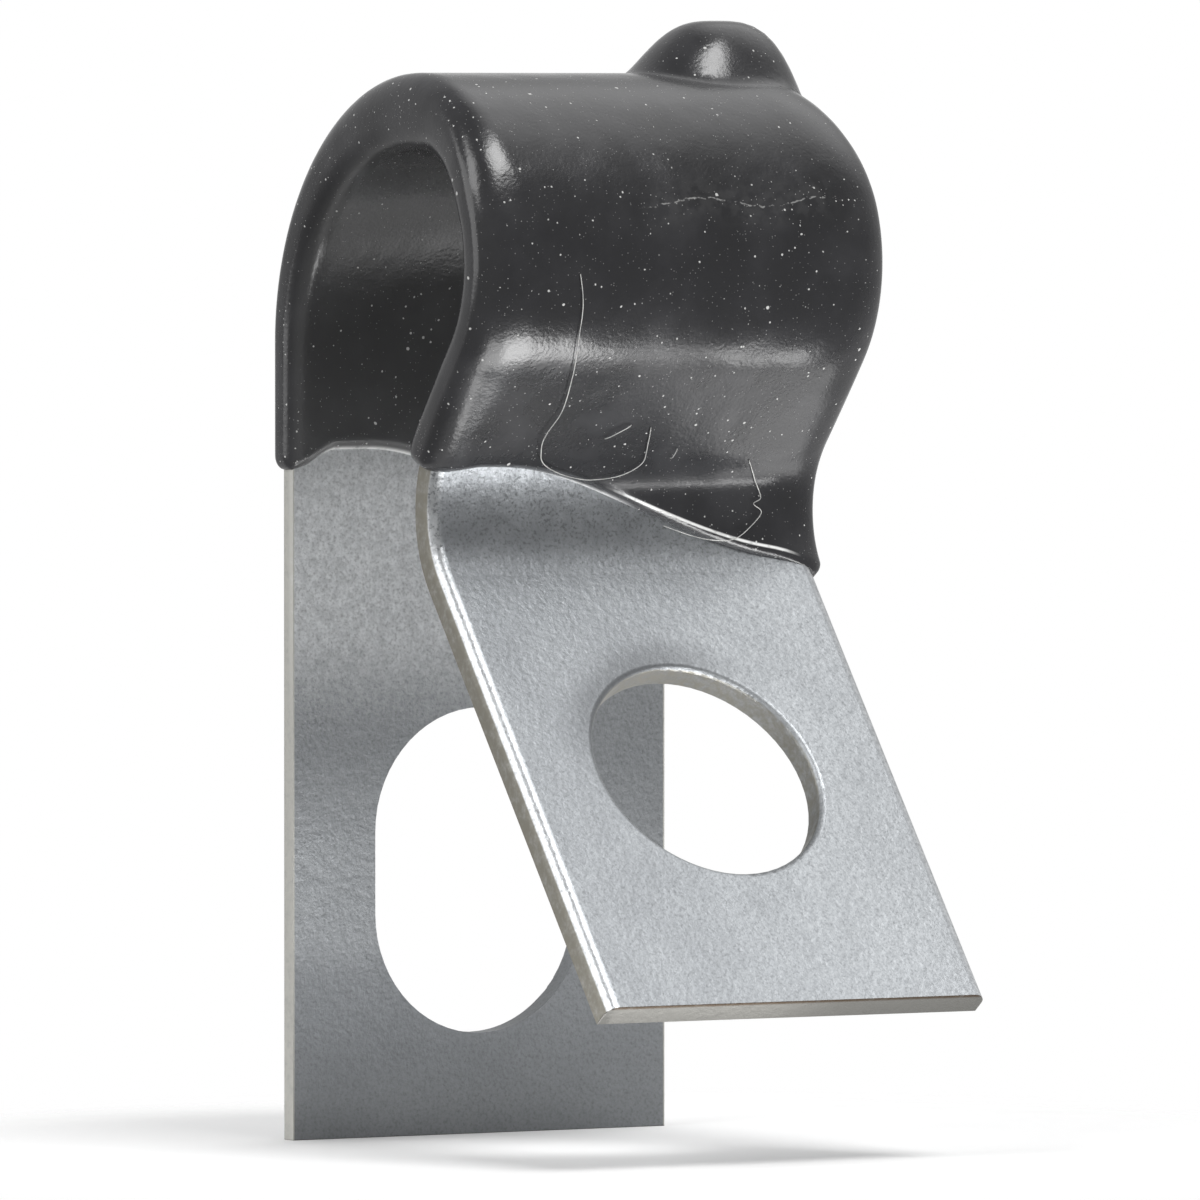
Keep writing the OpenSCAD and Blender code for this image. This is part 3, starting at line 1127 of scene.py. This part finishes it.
    def skin(self) -> tuple[Array, Array, Array]:
        """Works out the whole closed skin.

        The rings run out over the coat and back along the strip's surface.
        Points inside the cable's seat move out to it.

        Returns:
            A grid of points, which closes both ways, each point's share of
            the coat's thickness, and how far it faces into the loop.
        """
        across, _, angle, _ = self.section()
        inset = self.path.half_width - np.abs(across)
        length, rise = self.stations(across + inset * np.cos(angle))
        share = np.linspace(0.0, 1.0, self.wall_rows + 2)[1:-1, None]
        back = length[-1] + (length[0] - length[-1]) * share
        out, under = self.ring_points(length, rise), self.ring_points(back, np.zeros_like(share))
        grid = np.concatenate([np.stack(out, axis=-1), np.stack(under, axis=-1)])
        middle = self.path.nose_centre
        spoke = grid[..., 1:] - middle
        radius = np.linalg.norm(spoke, axis=-1, keepdims=True)
        push = np.maximum(1.0, self.seat_radius / np.maximum(radius, TINY))
        grid[..., 1:] = middle + spoke * push
        thickness = np.concatenate([rise, np.zeros_like(share)]) + np.zeros(grid.shape[1])
        lining = np.maximum(-np.sin(angle), 0.0) + np.zeros(grid.shape[:2])
        return grid, thickness, lining

    def build(self) -> bpy.types.Object:
        """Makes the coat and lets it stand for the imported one.

        Returns:
            The coat's object.
        """
        grid, rise, lining = self.skin()
        coat = mesh_object("dip_coat", grid.reshape(-1, 3), [ring_faces(*rise.shape, True)])
        for name, share in {"rise": rise, "lining": lining}.items():
            layer = coat.data.attributes.new(name, "FLOAT", "POINT")
            layer.data.foreach_set("value", share.ravel())
        coat.data.materials.append(self.finish.material(self.path))
        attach(coat, BODY)
        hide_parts("pvc_coating")
        return coat


@dataclass(frozen=True)
class LintFibre:
    """A thin fibre that lies on the outer face of the coat.

    The route is a list of places across the strip and lengths along it. No
    fibre runs along the direction aside.
    """

    name: str
    coat: DipCoat
    route: tuple[Span, ...]
    radius: float = 0.014
    rest: float = 0.02
    arch: float = 0.10
    steps: int = 8
    sides: int = 5
    aside: Point = (0.3, 0.9, 0.3)
    finish: LintFinish = LintFinish()

    def line(self) -> Array:
        """Draws the fibre's middle.

        Between two places of the route the line is the cubic that leaves and
        arrives along the chords of their neighbours. It lies on the coat and
        rises towards its middle by the arch times the sine of the way gone.

        Returns:
            Points along the fibre.
        """
        route = np.array(self.route)
        legs = len(route) - 1
        way = np.linspace(0.0, legs, legs * self.steps + 1)
        index = np.minimum(way.astype(int), legs - 1)
        u = (way - index)[:, None]
        before, start, stop, after = (
            route[np.clip(index + shift, 0, legs)] for shift in (-1, 0, 1, 2))
        x, length = (0.5 * (
            2.0 * start + (stop - before) * u
            + (2.0 * before - 5.0 * start + 4.0 * stop - after) * u ** 2
            + (3.0 * start - before - 3.0 * stop + after) * u ** 3)).T
        path = self.coat.path
        lift = self.rest + self.radius + self.arch * np.sin(math.pi * way / legs)
        y, z = path.place(length, path.half_thickness + self.coat.outer_thickness(length) + lift)
        return np.stack([x, y, z], axis=-1)

    def build(self) -> bpy.types.Object:
        """Sweeps a small ring along the line and closes both ends.

        Returns:
            The fibre's object.
        """
        line = self.line()
        heading = np.gradient(line, axis=0)
        heading /= np.linalg.norm(heading, axis=1, keepdims=True)
        across = np.cross(heading, np.array(self.aside))
        across /= np.linalg.norm(across, axis=1, keepdims=True)
        above = np.cross(across, heading)
        angle = np.linspace(0.0, 2.0 * math.pi, self.sides, endpoint=False)[None, :, None]
        rings = line[:, None] + self.radius * (
            np.cos(angle) * across[:, None] + np.sin(angle) * above[:, None])
        first = np.arange(self.sides)[None, :]
        last = first[:, ::-1] + (len(line) - 1) * self.sides
        tube = ring_faces(len(line), self.sides, False)
        fibre = mesh_object(self.name, rings.reshape(-1, 3), [tube, first, last])
        fibre.data.materials.append(self.finish.material())
        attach(fibre, BODY)
        return fibre


LONG_LINT = (
    (-3.8, 17.5), (-3.65, 18.2), (-3.6, 19.1), (-3.4, 20.2), (-3.3, 21.3), (-3.5, 22.1),
    (-3.5, 22.6), (-3.2, 23.3), (-2.6, 23.8), (-1.9, 24.1), (-1.2, 24.2), (-0.3, 24.0),
    (0.2, 23.4), (0.1, 22.5), (0.0, 22.0))
THROAT_LINT = (
    (3.85, 23.4), (4.3, 24.3), (4.6, 25.0), (4.35, 25.25), (4.6, 25.6), (4.0, 26.3),
    (3.5, 26.6), (2.9, 26.6), (2.2, 26.4), (1.3, 26.0))
SHORT_LINT = ((-1.4, 22.4), (-1.1, 22.1), (-0.7, 21.9))
TINY_LINT = ((1.1, 23.2), (1.1, 23.0), (1.2, 22.8))


@dataclass(frozen=True)
class Softbox:
    """A soft lamp that shines from one place at another."""

    name: str
    centre: Point
    aim: Point
    width: float
    height: float
    radiance: float

    def place(self) -> bpy.types.Object:
        """Makes the lamp; its power is the radiance times four times its area.

        Returns:
            The lamp's object, unseen by the camera.
        """
        light = bpy.data.lights.new(self.name, "AREA")
        light.shape = "RECTANGLE"
        light.size = self.width * MM
        light.size_y = self.height * MM
        light.energy = self.radiance * 4.0 * light.size * light.size_y
        lamp = bpy.data.objects.new(self.name, light)
        lamp.location = Vector(self.centre) * MM
        way = Vector(self.aim) - Vector(self.centre)
        lamp.rotation_euler = way.to_track_quat("-Z", "Y").to_euler()
        lamp.visible_camera = False
        bpy.context.scene.collection.objects.link(lamp)
        return lamp


@dataclass(frozen=True)
class Studio:
    """Floor, surroundings, lamps and the camera at the photograph's angle.

    A spread is the cosines, from the middle of a light, at which it begins and
    is full.
    """

    floor_finish: FloorFinish = FloorFinish()
    floor_half: float = 30.0
    floor_middle: Span = (0.0, -8.0)
    front_light: Colour = (0.32, 0.32, 0.32)
    back_light: Colour = (0.62, 0.62, 0.62)
    backdrop_light: Colour = (1.0, 1.0, 1.0)
    sky_light: Colour = (1.75, 1.75, 1.75)
    sky_middle: Point = (0.53, 0.2, 0.82)
    left_light: Colour = (0.46, 0.46, 0.46)
    left_middle: Point = (-0.85, -0.5, 0.1)
    back_spread: Span = (-0.1, 0.6)
    backdrop_spread: Span = (0.93, 0.985)
    sky_spread: Span = (0.76, 1.0)
    sky_falloff: float = 2.0
    left_spread: Span = (0.45, 0.9)
    azimuth: float = -31.713
    elevation: float = 2.768
    distance: float = 454.25
    target: Point = (0.0, -6.0, 0.0)
    focal_pixels: float = 15700.0
    target_pixel: Span = (573.68, 877.21)
    frame_pixels: float = 1200.0
    sensor: float = 36.0
    clip_start: float = 0.01
    softboxes: tuple[Softbox, ...] = (
        Softbox("key_box", (37.0, -129.0, 239.0), (0.0, -8.0, 12.0), 118.0, 90.0, 10.0),
        Softbox("left_panel", (-210.0, 70.0, 70.0), (0.0, -8.0, 12.0), 170.0, 150.0, 1.8),
        Softbox("edge_panel", (-175.0, -40.0, 175.0), (0.0, -8.0, 4.0), 110.0, 110.0, 4.0),
        Softbox("low_box", (6.0, -28.0, -7.3), (6.0, -28.0, 14.0), 14.5, 11.0, 11.0),
        Softbox("low_left", (-5.0, -24.5, -7.3), (-5.0, -24.5, 14.0), 14.0, 14.0, 5.0),
        Softbox("low_strip", (19.5, -22.5, -7.3), (19.5, -22.5, 14.0), 4.5, 6.5, 7.5),
        Softbox("low_right", (22.0, -12.0, -7.3), (22.0, -12.0, 14.0), 14.0, 9.0, 1.5),
    )

    @property
    def towards_camera(self) -> Vector:
        """Direction from the target to the camera."""
        azimuth, elevation = math.radians(self.azimuth), math.radians(self.elevation)
        return Vector((
            math.sin(azimuth) * math.cos(elevation),
            -math.cos(azimuth) * math.cos(elevation),
            math.sin(elevation)))

    def floor(self) -> bpy.types.Object:
        """Lays the paper under the clamp's foot.

        Returns:
            The floor's object.
        """
        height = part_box("steel_strap")[0][2] / MM
        middle = (*self.floor_middle, height)
        half = self.floor_half
        corners = np.array([[-half, -half], [half, -half], [half, half], [-half, half]])
        points = np.column_stack([corners + np.array(self.floor_middle), np.full(4, height)])
        floor = mesh_object("floor", points, [np.arange(4)[None, :]])
        floor.data.materials.append(self.floor_finish.material(middle))
        return floor

    def surroundings(self) -> None:
        """Makes the room: white behind the clamp, dim on the camera's side, soft light above."""
        world = bpy.data.worlds.new("room")
        bpy.context.scene.world = world
        world.use_nodes = True
        sheet = NodeSheet(world.node_tree)
        ray = sheet.add("ShaderNodeTexCoord", output="Generated")
        behind, over, beside = (
            sheet.vector(VectorOp.DOT, ray, tuple(Vector(middle).normalized()))
            for middle in (-self.towards_camera, self.sky_middle, self.left_middle))
        dim = sheet.mix(behind.ramp(*self.back_spread), self.front_light, self.back_light)
        light = sheet.layered(dim, (
            (beside.ramp(*self.left_spread), self.left_light),
            (over.ramp(*self.sky_spread) ** self.sky_falloff, self.sky_light),
            (behind.ramp(*self.backdrop_spread), self.backdrop_light)))
        sheet.close(
            sheet.add("ShaderNodeBackground", inputs={"Color": light}), "ShaderNodeOutputWorld")

    def camera(self) -> bpy.types.Object:
        """Sets up the camera, turned so that the target falls on its pixel.

        Returns:
            The camera's object.
        """
        back = self.towards_camera
        right = Vector((0.0, 0.0, 1.0)).cross(back).normalized()
        up = back.cross(right)
        middle = self.frame_pixels / 2
        view = (-back - right * ((self.target_pixel[0] - middle) / self.focal_pixels)
                + up * ((self.target_pixel[1] - middle) / self.focal_pixels)).normalized()
        across = view.cross(Vector((0.0, 0.0, 1.0))).normalized()
        data = bpy.data.cameras.new("camera")
        data.sensor_width = self.sensor
        data.lens = self.focal_pixels * self.sensor / self.frame_pixels
        data.clip_start = self.clip_start
        camera = bpy.data.objects.new("camera", data)
        place = (Vector(self.target) + back * self.distance) * MM
        camera.matrix_world = Matrix.Translation(place) @ Matrix(
            (across, across.cross(view), -view)).transposed().to_4x4()
        bpy.context.scene.collection.objects.link(camera)
        bpy.context.scene.camera = camera
        return camera

    def build(self) -> list[bpy.types.Object]:
        """Sets up everything round the clamp.

        Returns:
            The floor, the lamps and the camera.
        """
        bpy.context.scene.view_settings.view_transform = "Standard"
        self.surroundings()
        lamps = [softbox.place() for softbox in self.softboxes]
        return [self.floor(), *lamps, self.camera()]


def mount_size(mount: str, size: str) -> float:
    """Reads one of a mount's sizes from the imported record, in millimetres."""
    mounts = frame["record"]["mounts"]
    return next(entry["dims"][size] for entry in mounts if entry["name"] == mount)


def main() -> None:
    """Builds the clamp and its studio, and logs the names of what it made."""
    logging.basicConfig(level=logging.INFO, format="%(name)s: %(message)s")
    path = StripPath()
    LOG.info("dressed %s", SteelStrap(path).dress().name)
    coat = DipCoat(path, mount_size("cable_seat", "r_mm"))
    LOG.info("built %s", coat.build().name)
    lint = {"long": LONG_LINT, "throat": THROAT_LINT, "short": SHORT_LINT, "tiny": TINY_LINT}
    for name, route in lint.items():
        LOG.info("laid %s", LintFibre(f"lint_{name}", coat, route).build().name)
    for item in Studio().build():
        LOG.info("set up %s", item.name)


if __name__ == "__main__":
    main()
